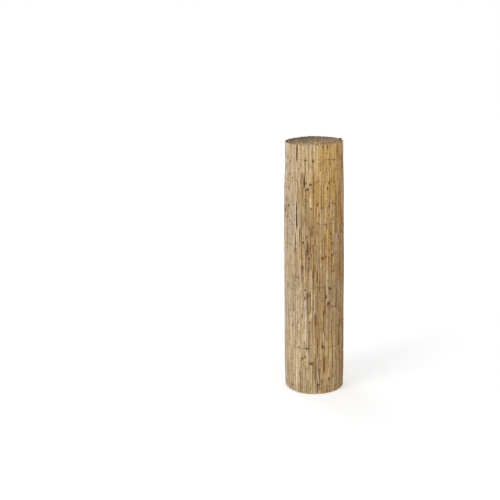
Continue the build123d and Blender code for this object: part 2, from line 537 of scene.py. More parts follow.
# %% [markdown]
# ## The skin of a reed
# A reed is a tube that swells at its nodes, and the papery husk of an old leaf still wraps many of its
# joints, with a slanting upper edge. Both ends are cut and hollow. Cylinders with boolean bores and extra
# shells would be heavy for so many reeds. One closed skin does it all: a stack of rings that starts inside
# the lower bore, comes out over the rim, climbs the reed and goes down into the upper bore. Rings stand at
# wide even steps, and close together only where the shape or the paint changes.

# %% Husks
HUSK_CHANCE, HUSK_SHARES = 0.5, (0.35, 1.0)
HUSK_END, SHORTEST_HUSK, STEEPEST_EDGE = 7 * MM, 15 * MM, 6 * MM
BARE_TIP = 3 * MM


@dataclass
class Husk:
    """What is left of a leaf round a joint, with the slant of its upper edge and the way it slants."""
    low: float
    top: float
    slant: float
    turn: float


def grow_husks(reed):
    """The husks that are left on a reed."""
    husks = []
    for low, high in zip(reed.nodes, reed.nodes[1:] + [reed.tip - BARE_TIP]):
        if draw.random() < HUSK_CHANCE:
            top = low + (high - low) * draw.uniform(*HUSK_SHARES) - HUSK_END
            if top > low + SHORTEST_HUSK:
                husks.append(Husk(low, top, draw.uniform(0, STEEPEST_EDGE), draw.uniform(0, 2 * pi)))
    return husks


print(f"about {HUSK_CHANCE:.0%} of the joints keep a husk, if it is over {SHORTEST_HUSK / MM:.0f} mm long")

# %% Heights of rings
OUTER_STEP, INNER_STEP = 0.045, 0.3
RIM = 0.35 * MM
# Over this depth from each end the painted shade of the inner reeds fades out.
SHADE_FADE_DEPTH = 25 * MM
CLOSEST_RINGS = 0.1 * MM
NODE_RINGS = np.array([-6.0, -3.2, -1.6, -0.7, 0.0, 0.7, 1.6, 3.2, 6.0]) * MM
BLEED_RINGS = np.array([-4.0, -1.4, 1.4, 4.0]) * MM
HUSK_EDGE_RINGS = np.array([-0.3, 0.3]) * MM
BEND_RINGS = BEND_RAMP * np.linspace(-0.5, 0.5, 7)


def ring_heights(reed, husks, detailed):
    """Heights of a shaft's rings: even steps from rim to rim, and more where something changes."""
    lowest, highest = reed.foot + RIM, reed.tip - RIM
    steps = max(2, int((highest - lowest) / (OUTER_STEP if detailed else INNER_STEP)) + 1)
    heights = [np.linspace(lowest, highest, steps)]
    if detailed:
        rusty_rows = rusty_rows_at(bearing(wall(reed.along)[0]))
        heights += [wire_levels[row - 1] + BLEED_RINGS for row in rusty_rows]
    else:
        heights.append(np.array([lowest + SHADE_FADE_DEPTH, highest - SHADE_FADE_DEPTH]))
    heights += [node + NODE_RINGS for node in reed.nodes]
    heights += [husk.top + HUSK_EDGE_RINGS for husk in husks]
    heights += [end + BEND_RINGS for low, high, distance in reed.pushes for end in (low, high)]
    height = np.unique(np.concatenate(heights).round(5))
    between = height[(height > lowest + CLOSEST_RINGS) & (height < highest - CLOSEST_RINGS)]
    return np.concatenate([[lowest], between, [highest]])


print(len(ring_heights(outer_reeds[0], [], True)), "rings on the first outer reed without its husks")

# %% Shape of a shaft
NODE_SWELL, NODE_HEIGHT = 0.10, 1.7 * MM
HUSK_THICKNESS, HUSK_FOOT, HUSK_EDGE = 0.35 * MM, 1 * MM, 1 * MM


def near(height, level, reach):
    """1 at a level, fading to 0 within about twice the reach."""
    return np.exp(-(((height - level) / reach) ** 2))


def shaft_shape(reed, height, husks):
    """Radius of each ring, whether a husk wraps it, and how far and which way it leans."""
    radius = reed_radius(reed, height)
    wrap, lean, lean_turn = np.zeros((3, len(height)))
    for node in reed.nodes:
        radius = radius + reed.width / 2 * NODE_SWELL * near(height, node, NODE_HEIGHT)
    for husk in husks:
        wrapped = (height > husk.low + HUSK_FOOT) & (height < husk.top)
        wrap[wrapped] = 1.0
        radius[wrapped] += HUSK_THICKNESS
        edge = np.abs(height - husk.top) < HUSK_EDGE
        lean[edge], lean_turn[edge] = husk.slant, husk.turn
    return radius, wrap, lean, lean_turn


print("a node swells by", NODE_SWELL, "of the reed, and a husk adds", HUSK_THICKNESS / MM, "mm")

# %% [markdown]
# ## Paint along a reed
# The paint of a reed is kept in its rings, as one colour for each: a tone for each joint, drawn towards the
# patches, paler on a husk, with a dark line at each node and rust beside the wires. A second value says how
# much dark stain there is, so that the material can give the stain a ragged edge later. An image texture
# would have to be painted by hand, while values at the points cost little and bake well.

# %% Colours of the rings
OTHER_TONE_SHARES = (0.1, 1.0)
REED_LIGHT_SPREAD, JOINT_LIGHT_SPREAD = 0.08, 0.18
HUSK_PALENESS = 0.28
NODE_LINE, NODE_LINE_STRENGTHS = 1.3 * MM, (0.25, 0.9)
RUST_BLEED, RUST_STRENGTHS, RUST_STAIN = 2.2 * MM, (0.05, 0.35), tone(120, 80, 42)


def joint_colours(reed):
    """One colour for each joint of a reed: the reed's own tone, mixed with others, lighter or darker."""
    joints = len(reed.nodes) + 1
    own = REED_TONES[draw.choice(len(REED_TONES), p=TONE_CHANCES)]
    other = REED_TONES[draw.choice(len(REED_TONES), joints, p=TONE_CHANCES)]
    mixed = towards(own, other, draw.uniform(*OTHER_TONE_SHARES, joints))
    light = np.exp(draw.normal(0, REED_LIGHT_SPREAD) + draw.normal(0, JOINT_LIGHT_SPREAD, joints))
    colours = shade(mixed, light)
    for level, (joint_tone, strength) in reed.joint_tones.items():
        marked = np.searchsorted(reed.nodes, level)
        colours[marked] = towards(colours[marked], joint_tone, strength)
    return colours


def reed_colours(reed, height, wrap):
    """Colours of a shaft's rings."""
    place = bearing(wall(reed.along)[0])
    colour = patch_tones(place, height, joint_colours(reed)[np.searchsorted(reed.nodes, height)])
    colour = towards(colour, PALE, HUSK_PALENESS * wrap)
    for node in reed.nodes:
        colour = towards(colour, UMBER, near(height, node, NODE_LINE) * draw.uniform(*NODE_LINE_STRENGTHS))
    for row, start, stop in RUSTY_STRETCHES:
        bled = near(height, wire_levels[row - 1], RUST_BLEED) * draw.uniform(*RUST_STRENGTHS)
        colour = towards(colour, RUST_STAIN, bled * window(place, start, stop, RUST_SOFTNESS))
    return colour


print("joints differ in light by a factor of about", round(float(np.exp(2 * JOINT_LIGHT_SPREAD)), 2))

# %% Stains of the rings
FADE_LENGTHS, FADE_STRENGTH = (6 * MM, 36 * MM), 0.68


def reed_stains(reed, height):
    """Share of dark stain on a shaft's rings: round its dark nodes, and fading upwards from all of them."""
    stain = np.zeros_like(height)
    for node in reed.nodes:
        if node in reed.dark_nodes:
            stain += near(height, node, reed.dark_nodes[node])
        fading = np.where(height >= node, np.exp(-(height - node) / draw.uniform(*FADE_LENGTHS)), 0)
        stain += fading * draw.uniform(0, FADE_STRENGTH) ** 2
    return np.minimum(stain, 1)


print("a stain fades over", FADE_LENGTHS[0] / MM, "to", FADE_LENGTHS[1] / MM, "mm above its node")

# %% [markdown]
# ## The cut ends
# From above the roll shows hundreds of hollow ends. They are lighter in front and towards the right, darker
# and greyer at the back, and arcs of one tone run along each turn, where a bunch of like reeds went into the
# mat. Each end has a flat rim and a bore that goes down to a floor painted darker as shade, and no two bores
# are equally wide or deep.

# %% Ends of a reed
CUT_END, DARKER_CUT_END, BORE = tone(209, 178, 140), tone(135, 118, 89), tone(118, 97, 70)
END_LIGHTNESS_MIDDLE, LIGHTER_IN_FRONT, LIGHTER_AT_RIGHT = 0.5, 1 / 0.26, 0.25 / 0.14
LONG_ARCS, LONG_ARC_LENGTH = 0.15, 0.055
SHORT_ARCS, SHORT_ARC_LENGTH, SHORT_ARC_PHASE = 0.13, 0.021, 1.3
END_LIGHTS = (0.78, 1.2)
BORE_SHARES, BORE_DEPTHS = (0.35, 0.62), (1.5 * MM, 9 * MM)
BORE_NARROWING, BORE_FLOOR_SHADE = 0.94, 0.6


@dataclass
class Rings:
    """A stretch of a reed's skin, ring by ring: the shape of the rings and their paint."""
    height: np.ndarray
    radius: np.ndarray
    colour: np.ndarray
    wrap: np.ndarray
    stain: np.ndarray
    lean: np.ndarray
    lean_turn: np.ndarray


def end_tone(reed):
    """Colour of a reed's cut ends: lighter to the front and right, with arcs of one tone along each turn."""
    place, _ = wall(reed.along)
    lightness = np.clip(END_LIGHTNESS_MIDDLE - LIGHTER_IN_FRONT * place[1] + LIGHTER_AT_RIGHT * place[0], 0, 1)
    arcs = 1 + LONG_ARCS * sin(reed.along / LONG_ARC_LENGTH)
    arcs += SHORT_ARCS * sin(reed.along / SHORT_ARC_LENGTH + SHORT_ARC_PHASE)
    return towards(DARKER_CUT_END, CUT_END, lightness) * arcs * draw.uniform(*END_LIGHTS)


def cut_end(reed, level, inwards, cut, tilt):
    """Rings of one cut end, from the rim into the bore."""
    rim_radius = float(reed_radius(reed, level))
    bore = rim_radius * draw.uniform(*BORE_SHARES)
    height = level + inwards * np.array([0.0, 0.0, RIM, draw.uniform(*BORE_DEPTHS)])
    radius = np.array([rim_radius - RIM, bore + RIM / 2, bore, bore * BORE_NARROWING])
    # The bore wall goes from the cut tone to the bore tone, and its floor is painted darker still, a painted
    # shade.
    colour = np.array([cut, cut, (cut + BORE) / 2, BORE * BORE_FLOOR_SHADE])
    lean = np.array([tilt, tilt, tilt, 0.0])
    return Rings(height, radius, colour, np.zeros(4), np.zeros(4), lean, np.zeros(4))


print("bores take", BORE_SHARES[0], "to", BORE_SHARES[1], "of a reed's width")

# %% [markdown]
# ## One closed skin
# Now the parts come together: the lower end, the shaft and the upper end are stacked, and each ring is
# turned into points. The seam lies on the side that faces the eye of the roll, where nobody sees it. The
# flanks of a reed that shows are painted brown and darker away from its crown, a painted shade for the
# valleys between reeds. The reeds inside get a painted shade along their shafts, browner and darker, which
# fades out towards their two ends, so that these keep the tone of the cut ends.

# %% Skins
# The first tone here is a painted shade: the brown that darkens the flanks of outer reeds between them.
FLANK_SHADE_TONE, HIDDEN_SHADE_TONE = tone(110, 71, 26), tone(160, 105, 44)
FLANK_SHADE_START, FLANK_SHADE_RAMP, FLANK_SHADE_SHARE = radians(48), radians(45), 0.64
SHAFT_SHARE = 0.8
# Reeds inside the roll get a painted shade: their shafts are drawn towards the brown tone above and darkened.
HIDDEN_SHADE_FACTOR, HIDDEN_SHADE_SHARE = 0.8, 0.95
STEEPEST_TIP = 0.9 * MM


@dataclass
class Skin:
    """A closed skin: its points and colours by ring and side, and three more values for each ring."""
    points: np.ndarray
    colours: np.ndarray
    coat: np.ndarray
    stain: np.ndarray
    own_number: np.ndarray


def stacked(foot, shaft, tip):
    """One stack of rings from three, the foot's turned over so that it starts inside the bore."""
    values = zip(vars(foot).values(), vars(shaft).values(), vars(tip).values())
    return Rings(*(np.concatenate([low[::-1], middle, high]) for low, middle, high in values))


def ring_points(reed, rings, sides):
    """The points of each ring, with the seam on the side that faces the eye of the roll."""
    middle, out, aside = reed_line(reed, rings.height)
    turn = np.arange(sides) * 2 * pi / sides
    ways = np.cos(turn)[None, :, None] * out[:, None] + np.sin(turn)[None, :, None] * aside[:, None]
    flat = middle[:, None] - rings.radius[:, None, None] * ways
    level = rings.height[:, None] + rings.lean[:, None] * np.cos(turn[None] - rings.lean_turn[:, None])
    return np.concatenate([flat, level[..., None]], -1)


def flank_shade(reed, rings, sides):
    """Share of painted shade at each point: none on the crown of a shaft, more towards its flanks and back.
    """
    from_crown = np.abs(np.arange(sides) * 2 * pi / sides - pi)
    painted_shade = np.clip((from_crown - FLANK_SHADE_START) / FLANK_SHADE_RAMP, 0, 1) * FLANK_SHADE_SHARE
    on_shaft = rings.radius > SHAFT_SHARE * reed_radius(reed, rings.height)
    return painted_shade * on_shaft[:, None]


def shaded_inner_colours(height, colour, cut):
    """Colours of a reed inside the roll: a painted shade, brown and darker, fading out at its two ends."""
    in_shade = (colour + (HIDDEN_SHADE_TONE - colour) * HIDDEN_SHADE_SHARE) * HIDDEN_SHADE_FACTOR
    depth = np.minimum(height - height[0], height[-1] - height)
    return towards(cut, in_shade, np.clip(depth / SHADE_FADE_DEPTH, 0, 1))


def reed_skin(reed, sides, detailed):
    """The skin of a reed, with all details if it shows."""
    husks = grow_husks(reed) if detailed else []
    height = ring_heights(reed, husks, detailed)
    radius, wrap, lean, lean_turn = shaft_shape(reed, height, husks)
    colour = reed_colours(reed, height, wrap)
    stain = reed_stains(reed, height)
    cut = end_tone(reed)
    # Reeds that do not show get the painted shade of the inside of the roll.
    colour = colour if detailed else shaded_inner_colours(height, colour, cut)
    shaft = Rings(height, radius, colour, wrap, stain, lean, lean_turn)
    foot = cut_end(reed, reed.foot, 1, cut, 0.0)
    tip = cut_end(reed, reed.tip, -1, cut, draw.uniform(0, STEEPEST_TIP))
    tip.lean_turn[:] = draw.uniform(0, 2 * pi)
    rings = stacked(foot, shaft, tip)
    # The flanks of reeds that show get a painted shade towards their neighbours.
    painted_shade = flank_shade(reed, rings, sides) if detailed else np.zeros((len(rings.height), sides))
    colours = towards(rings.colour[:, None], FLANK_SHADE_TONE, painted_shade)
    numbers = np.full(len(rings.height), reed.number)
    return Skin(ring_points(reed, rings, sides), colours, rings.wrap, rings.stain, numbers)


print("dust sets in", round(degrees(FLANK_SHADE_START)), "degrees from the crown, up to a share of", FLANK_SHADE_SHARE)

# %% [markdown]
# ## From skins to faces
# Skins are gathered into bundles, each one mesh object, because a thousand objects would make Blender slow.
# The faces between two rings are four-sided, and each bore is closed by one flat face at its floor. A skin
# that is closed everywhere has no stray edges, so it can be cut, printed or weighed.


# %% Faces of a skin
def skin_faces(skin, first):
    """Corner numbers of the four-sided faces between rings, and of the two end faces."""
    count, sides = skin.points.shape[:2]
    grid = first + np.arange(count * sides).reshape(count, sides)
    ahead = np.roll(grid, -1, 1)
    quads = np.stack([grid[:-1], ahead[:-1], ahead[1:], grid[1:]], -1).reshape(-1, 4)
    return quads, [grid[0, ::-1].tolist(), grid[-1].tolist()]


def face_corners(left_low, right_low, right_high, left_high):
    """Map corners of four-sided faces, in the order in which skin_faces names them."""
    return np.stack([left_low, right_low, right_high, left_high], 2).reshape(-1, 2)


def cap_circle(sides):
    """A circle for the corners of an end face."""
    turn = np.linspace(0, 1, sides + 1)[:-1] * 2 * pi
    return np.stack([np.cos(turn), np.sin(turn)], -1)


print("an end face of six corners is mapped to", cap_circle(6).round(2).tolist())

# %% [markdown]
# ## A map for the grain
# The veins of a reed run along it, whichever way it leans. Object coordinates would run straight up through
# a bent reed, so each skin gets a map of its own, called ReedMap. It is unrolled from the skin in metres,
# round the reed and along it, and so the grain has one scale on thick and thin reeds.

# %% Grain map
SHORTEST_STEP = 0.02 * MM


def ring_steps(skin):
    """How far it is from each ring to the next along the skin, and the mean radius of each ring."""
    lines = skin.points.mean(1)
    radii = np.linalg.norm(skin.points - lines[:, None], axis=-1).mean(1)
    steps = np.linalg.norm(np.diff(lines, axis=0), axis=1) + np.abs(np.diff(radii)) + SHORTEST_STEP
    return steps, radii


def run_of(steps):
    return np.concatenate([[0.0], np.cumsum(steps)])


def grain_map(skin):
    """ReedMap corners of one skin, for its side faces and for its end faces."""
    steps, radii = ring_steps(skin)
    sides = skin.points.shape[1]
    round_reed = np.linspace(0, 1, sides + 1)[None] * 2 * pi * radii.max()
    corners = np.stack(np.broadcast_arrays(round_reed, run_of(steps)[:, None]), -1)
    faces = face_corners(corners[:-1, :-1], corners[:-1, 1:], corners[1:, 1:], corners[1:, :-1])
    return faces, np.tile(cap_circle(sides) * radii[0], (2, 1))


print("the grain map counts each step between rings as at least", SHORTEST_STEP / MM, "mm")

# %% [markdown]
# ## A map for baking
# When the material is baked into a picture, every face needs a place of its own in it. An automatic unwrap
# would cut such long thin skins into many islands. OFBake shares the picture out as a grid instead: the
# long outer reeds lie in it as strips in two stretches, and of the inner reeds, which show only their ends,
# the shaft is squeezed to make room.

# %% Bake map
SIDE_MARGIN = 0.06
CAP_SHARE = 0.4


@dataclass
class MapGrid:
    """How the skins of one bundle share the bake map: stretches to a skin, rows of cells and margins."""
    stretches: int
    rows: int
    margin: float
    longest_step: float


LONG_STRIPS = MapGrid(stretches=2, rows=1, margin=0.012, longest_step=1.0)
SHORT_ENDS = MapGrid(stretches=1, rows=8, margin=0.07, longest_step=9 * MM)


def bake_map(skin, order, skin_count, grid):
    """OFBake corners of one skin, for its side faces and for its end faces."""
    count, sides = skin.points.shape[:2]
    run = run_of(np.minimum(ring_steps(skin)[0], grid.longest_step))
    cuts = np.searchsorted(run, run[-1] * np.arange(1, grid.stretches) / grid.stretches)
    ends = np.concatenate([[0], cuts, [count - 1]])
    stretch = np.searchsorted(cuts, np.arange(count - 1), side="right")
    start, reach = run[ends[stretch]], np.diff(run[ends])[stretch]
    columns = -(-skin_count * grid.stretches // grid.rows)
    row, column = np.divmod(order * grid.stretches + stretch, columns)
    turn = np.linspace(0, 1, sides + 1)
    across = (column[:, None] + SIDE_MARGIN + (1 - 2 * SIDE_MARGIN) * turn[None]) / columns

    def up(levels):
        inside = grid.margin + (1 - 2 * grid.margin) * (levels - start) / reach
        return np.broadcast_to(((row + inside) / grid.rows)[:, None], across.shape)

    low = np.stack([across, up(run[:-1])], -1)
    high = np.stack([across, up(run[1:])], -1)
    faces = face_corners(low[:, :-1], low[:, 1:], high[:, 1:], high[:, :-1])
    cap = cap_circle(sides) * CAP_SHARE * min(grid.margin / grid.rows, 1 / columns)
    caps = []
    for cell, level in ((0, grid.margin / 2), (-1, 1 - grid.margin / 2)):
        caps.append(cap + ((column[cell] + 0.5) / columns, (row[cell] + level) / grid.rows))
    return faces, np.concatenate(caps)


print("outer reeds lie in", LONG_STRIPS.stretches, "strips each, inner ones in", SHORT_ENDS.rows, "rows")

# %% [markdown]
# ## Bundles
# A bundle joins its skins into one mesh, fills both maps and stores the paint as attributes of the points,
# where the material reads it. Then it gets its material, is parented to the body it rides on, and the
# measured piece that it stands for is hidden.


# %% Bundle maker
def fill_map(mesh, name, corners_by_skin):
    """Fills a map: first the corners of all side faces, then those of all end faces."""
    corners = [faces for faces, caps in corners_by_skin] + [caps for faces, caps in corners_by_skin]
    layer = mesh.uv_layers.new(name=name)
    layer.data.foreach_set("uv", np.concatenate(corners).astype(np.float32).ravel())


def paint(mesh, skins):
    """Stores each point's colour, and its ring's coat, stain and number of the reed."""
    colours = np.concatenate([skin.colours.reshape(-1, 3) for skin in skins])
    with_alpha = np.concatenate([colours, np.ones((len(colours), 1))], -1)
    layer = mesh.attributes.new("own_colour", "FLOAT_COLOR", "POINT")
    layer.data.foreach_set("color", with_alpha.astype(np.float32).ravel())
    for name in ("coat", "stain", "own_number"):
        values = [np.repeat(getattr(skin, name), skin.points.shape[1]) for skin in skins]
        layer = mesh.attributes.new(name, "FLOAT", "POINT")
        layer.data.foreach_set("value", np.concatenate(values).astype(np.float32))


def bundle_mesh(name, skins, grid):
    """One mesh from several skins, with its maps and paint."""
    points = np.concatenate([skin.points.reshape(-1, 3) for skin in skins])
    quads, caps, first = [], [], 0
    for skin in skins:
        skin_quads, skin_caps = skin_faces(skin, first)
        quads += skin_quads.tolist()
        caps += skin_caps
        first += skin.points.shape[0] * skin.points.shape[1]
    mesh = bpy.data.meshes.new(name)
    mesh.from_pydata(points.tolist(), [], quads + caps)
    fill_map(mesh, "ReedMap", [grain_map(skin) for skin in skins])
    fill_map(mesh, "OFBake", [bake_map(skin, order, len(skins), grid) for order, skin in enumerate(skins)])
    paint(mesh, skins)
    mesh.polygons.foreach_set("use_smooth", np.arange(len(mesh.polygons)) < len(quads))
    return mesh


def bundle(name, skins, material, replaced, grid=LONG_STRIPS):
    """One mesh object from several skins, riding on the roll and standing for a measured piece."""
    mesh = bundle_mesh(name, skins, grid)
    mesh.materials.append(material)
    piece = bpy.data.objects.new(name, mesh)
    bpy.context.scene.collection.objects.link(piece)
    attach(piece, "root")
    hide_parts(replaced)
    return piece


# %% [markdown]
# ## Building materials from nodes
# Materials are node trees. Wiring each one by hand repeats the same few lines, so four small helpers do it:
# one adds a node with its settings, one adds or multiplies two values, one stretches a value from one range
# to another, and one opens a new material.


# %% Shader helpers
def add_node(tree, kind, **values):
    """A shader node with its settings and unlinked inputs filled in by name."""
    node = tree.nodes.new(kind)
    for name, value in values.items():
        if name in node.inputs:
            node.inputs[name].default_value = value
        else:
            setattr(node, name, value)
    return node


def combine(tree, operation, first, second, **values):
    """The sum or the product of two sockets."""
    node = add_node(tree, "ShaderNodeMath", operation=operation, **values)
    tree.links.new(first, node.inputs[0])
    tree.links.new(second, node.inputs[1])
    return node.outputs["Value"]


def spread(tree, source, low, high, to_low, to_high):
    """Stretches a value from one range to another and keeps it inside."""
    node = tree.nodes.new("ShaderNodeMapRange")
    for name, value in zip(("From Min", "From Max", "To Min", "To Max"), (low, high, to_low, to_high)):
        node.inputs[name].default_value = value
    tree.links.new(source, node.inputs["Value"])
    return node.outputs["Result"]


def new_material(name):
    """A new material with its node tree."""
    material = bpy.data.materials.new(name)
    material.use_nodes = True
    return material, material.node_tree


print("shader helpers are ready for Blender", bpy.app.version_string)

# %% [markdown]
# ## The grain of dry reed
# Close up, a reed has fine lengthwise veins, longer streaks, blotches and specks of mildew that gather in
# clusters. All of them are noise, stretched along the reed by the two scales of ReedMap. The reed's number
# is the third coordinate, so that no two reeds share a pattern.

# %% Grain
APART = 7.31
STREAKS = {"round_scale": 520, "along_scale": 7, "Detail": 3.0, "Roughness": 0.6}
VEINS = {"round_scale": 3400, "along_scale": 22, "Detail": 2.0, "Roughness": 0.55}
MILDEW = {"round_scale": 230, "along_scale": 120, "Detail": 4.0, "Roughness": 0.65}
BLOTCHES = {"round_scale": 90, "along_scale": 26, "Detail": 3.0, "Roughness": 0.6}
CLUSTERS = {"round_scale": 40, "along_scale": 9, "Detail": 2.0, "Roughness": 0.5}


def grain_noise(tree, round_scale, along_scale, **values):
    """Noise stretched along the reed: scales are features to a metre, round the reed and along it."""
    where = add_node(tree, "ShaderNodeUVMap", uv_map="ReedMap")
    number = add_node(tree, "ShaderNodeAttribute", attribute_name="own_number")
    scaled = add_node(tree, "ShaderNodeVectorMath", operation="MULTIPLY")
    scaled.inputs[1].default_value = (round_scale, along_scale, 1.0)
    parts = add_node(tree, "ShaderNodeSeparateXYZ")
    own = add_node(tree, "ShaderNodeMath", operation="MULTIPLY")
    own.inputs[1].default_value = APART
    joined = add_node(tree, "ShaderNodeCombineXYZ")
    noise = add_node(tree, "ShaderNodeTexNoise", Scale=1.0, **values)
    tree.links.new(where.outputs["UV"], scaled.inputs[0])
    tree.links.new(scaled.outputs["Vector"], parts.inputs["Vector"])
    tree.links.new(number.outputs["Fac"], own.inputs[0])
    tree.links.new(parts.outputs["X"], joined.inputs["X"])
    tree.links.new(parts.outputs["Y"], joined.inputs["Y"])
    tree.links.new(own.outputs["Value"], joined.inputs["Z"])
    tree.links.new(joined.outputs["Vector"], noise.inputs["Vector"])
    return noise.outputs["Fac"]


print("patterns of two reeds lie", APART, "apart in the noise")

# %% Light and dark of the grain
NOISE_RANGE = (0.3, 0.7)
STREAK_LIGHTS, VEIN_LIGHTS = (0.75, 1.2), (0.88, 1.08)
CLUSTER_EDGE, CLUSTER_SHIFTS = (0.36, 0.64), (-0.13, 0.06)
MILDEW_EDGE, MILDEW_LIGHTS = (0.55, 0.70), (1.0, 0.42)
BLOTCH_EDGE, BLOTCH_LIGHTS = (0.52, 0.72), (1.0, 0.62)


def grain_light(tree, streaks, veins, mildew):
    """How much lighter or darker the grain makes a reed."""
    blotches, clusters = grain_noise(tree, **BLOTCHES), grain_noise(tree, **CLUSTERS)
    gathered = combine(tree, "ADD", mildew, spread(tree, clusters, *CLUSTER_EDGE, *CLUSTER_SHIFTS))
    streaked = spread(tree, streaks, *NOISE_RANGE, *STREAK_LIGHTS)
    light = combine(tree, "MULTIPLY", streaked, spread(tree, veins, *NOISE_RANGE, *VEIN_LIGHTS))
    light = combine(tree, "MULTIPLY", light, spread(tree, gathered, *MILDEW_EDGE, *MILDEW_LIGHTS))
    return combine(tree, "MULTIPLY", light, spread(tree, blotches, *BLOTCH_EDGE, *BLOTCH_LIGHTS))


print("the darkest specks of mildew keep", MILDEW_LIGHTS[1], "of the light")

# %% [markdown]
# ## The finish of dry reed
# The material takes the painted colour, shades it by the grain, with the same powers as before so that
# dark grain is brown, and lays the stain over it with a ragged edge. Bare stems are satin and husks are
# duller, so the roughness follows the streaks and the husks. Dusty reed has very little gloss: more would
# put a grey veil over the dark slits. The veins also make a slight relief, which only shows close up.

# %% Reed material
STAIN = tone(94, 59, 15)
RAGGED_SHIFTS, STAIN_EDGE, STAIN_COVER = (-0.4, 0.3), (0.12, 0.85), (0.0, 0.9)
REED_GLOSS, REED_ROUGHNESS, HUSK_ROUGHER = 0.08, (0.62, 0.44), (0.0, 0.18)
VEIN_STRENGTH, VEIN_DEPTH = 0.35, 0.25 * MM


def browned(tree, colour, light):
    """A colour shaded by a light, with each channel raised to its own power."""
    powers = tree.nodes.new("ShaderNodeCombineXYZ")
    for channel, power in zip("XYZ", SHADE_POWERS):
        raised = add_node(tree, "ShaderNodeMath", operation="POWER")
        raised.inputs[1].default_value = power
        tree.links.new(light, raised.inputs[0])
        tree.links.new(raised.outputs["Value"], powers.inputs[channel])
    shaded = add_node(tree, "ShaderNodeVectorMath", operation="MULTIPLY")
    tree.links.new(colour, shaded.inputs[0])
    tree.links.new(powers.outputs["Vector"], shaded.inputs[1])
    return shaded.outputs["Vector"]


def stained(tree, colour, mildew):
    """A colour with the painted stain over it, its edge broken up by the mildew."""
    stain = add_node(tree, "ShaderNodeAttribute", attribute_name="stain")
    ragged = combine(tree, "ADD", stain.outputs["Fac"], spread(tree, mildew, *NOISE_RANGE, *RAGGED_SHIFTS))
    mixed = add_node(tree, "ShaderNodeMix", data_type="RGBA")
    mixed.inputs["B"].default_value = (*STAIN, 1)
    tree.links.new(spread(tree, ragged, *STAIN_EDGE, *STAIN_COVER), mixed.inputs["Factor"])
    tree.links.new(colour, mixed.inputs["A"])
    return mixed.outputs["Result"]


def dry_reed():
    material, tree = new_material("dry_reed")
    shader = tree.nodes["Principled BSDF"]
    shader.inputs["Specular IOR Level"].default_value = REED_GLOSS
    painted = add_node(tree, "ShaderNodeAttribute", attribute_name="own_colour")
    coat = add_node(tree, "ShaderNodeAttribute", attribute_name="coat")
    streaks, veins, mildew = (grain_noise(tree, **kind) for kind in (STREAKS, VEINS, MILDEW))
    shaded = browned(tree, painted.outputs["Color"], grain_light(tree, streaks, veins, mildew))
    tree.links.new(stained(tree, shaded, mildew), shader.inputs["Base Color"])
    duller = spread(tree, coat.outputs["Fac"], 0.0, 1.0, *HUSK_ROUGHER)
    rough = combine(tree, "ADD", spread(tree, streaks, *NOISE_RANGE, *REED_ROUGHNESS), duller)
    tree.links.new(rough, shader.inputs["Roughness"])
    bump = add_node(tree, "ShaderNodeBump", Strength=VEIN_STRENGTH, Distance=VEIN_DEPTH)
    tree.links.new(veins, bump.inputs["Height"])
    tree.links.new(bump.outputs["Normal"], shader.inputs["Normal"])
    return material


reed_finish = dry_reed()
print("reed material has", len(reed_finish.node_tree.nodes), "nodes")

# %% [markdown]
# ## The outer turn, reed by reed
# The reeds that show get every detail: nodes, husks, bends and dust, and enough sides to look round. One
# object for the whole turn would be hard to handle and to bake, so ten reeds go into each bundle.

# %% Outer bundles
OUTER_SIDES = 14
REEDS_TO_A_BUNDLE = 10

for number, start in enumerate(range(0, len(outer_reeds), REEDS_TO_A_BUNDLE), start=1):
    skins = [reed_skin(reed, OUTER_SIDES, True) for reed in outer_reeds[start:start + REEDS_TO_A_BUNDLE]]
    piece = bundle(f"outer_reeds_{number:02d}", skins, reed_finish, "reed_mat")
    print(piece.name, len(piece.data.polygons), "faces")

# %% [markdown]
# ## The inner turns
# Of the rolled-up reeds only the cut ends show, and a little of the next turn through the slits. They are
# plain tubes with the same hollow ends and fewer sides, and their shafts carry a painted shade that makes
# them browner and darker than the outside. One object for each turn keeps the winding plain to see in the
# outliner.

# %% Inner turns
INNER_SIDES = 9

inner_reeds = [reed for reed in reeds if reed.along <= outer_start]
for turn in range(HALF_TURNS // 2 - 1):
    low, high = turn_starts[2 * turn], turn_starts[2 * turn + 2]
    skins = [reed_skin(reed, INNER_SIDES, False) for reed in inner_reeds if low < reed.along <= high]
    piece = bundle(f"inner_turn_{turn + 1:02d}", skins, reed_finish, "reed_mat", SHORT_ENDS)
    print(piece.name, len(skins), "reeds", len(piece.data.polygons), "faces")

# %% [markdown]
# ## Peeling husks
# Here and there the top of a husk has torn loose and stands off its reed, and from the side such scraps
# roughen the outline. Hair would be too thin and even for them. Each is a thin closed strip, bent round its
# reed at the root and lifting off towards its point. Most point up, as the leaf grew, and some have folded
# over and hang.

# %% One scrap
SCRAP_THICKNESS = 0.25 * MM
SCRAP_STATIONS, SCRAP_SIDES = 9, 4
SCRAP_TAPER, SCRAP_TAPER_POWER = 0.85, 1.5
SCRAP_LIGHTS = (0.75, 1.1)


